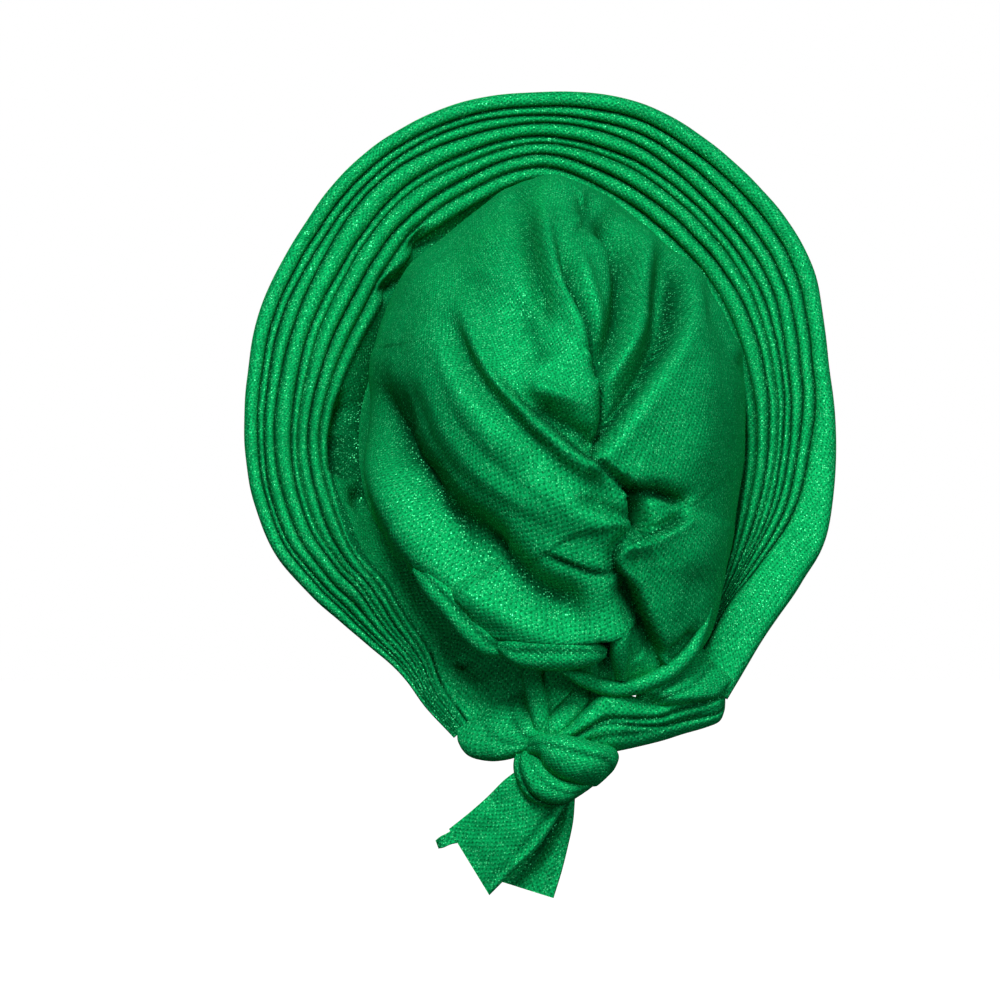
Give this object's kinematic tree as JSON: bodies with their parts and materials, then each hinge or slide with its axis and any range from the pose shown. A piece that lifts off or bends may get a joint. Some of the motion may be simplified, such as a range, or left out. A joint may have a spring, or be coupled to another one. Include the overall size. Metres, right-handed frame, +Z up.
{
  "type": "pleated headtie turban",
  "caption": "Ready-tied headtie turban of sparkling green knit: twisted crown, halo of rolled pleats, ties knotted at the nape with two free ends.",
  "frame": {"origin": "inside top of the crown, where it sits on the head", "axes": "+Z up, +Y the way the wearer faces, +X towards the wearer's right hand as seen from behind on the right"},
  "size_m": [0.2902, 0.2233, 0.401],
  "materials": {
    "pleated_fan_cloth": "sparkling green knit, pressed into rolled pleats",
    "crown_cloth": "sparkling green knit, soft sheen",
    "hem_gather_cloth": "sparkling green knit, gathered",
    "tie_left_cloth": "sparkling green knit",
    "tie_right_cloth": "sparkling green knit",
    "tie_knot_cloth": "sparkling green knit",
    "tail_front_cloth": "sparkling green knit",
    "tail_back_cloth": "sparkling green knit"
  },
  "bodies": {
    "root": {"pleated_fan": "pleated_fan_cloth", "crown": "crown_cloth", "hem_gather": "hem_gather_cloth", "tie_left": "tie_left_cloth", "tie_right": "tie_right_cloth", "tie_knot": "tie_knot_cloth", "tail_front": "tail_front_cloth", "tail_back": "tail_back_cloth"}
  },
  "joints": []
}
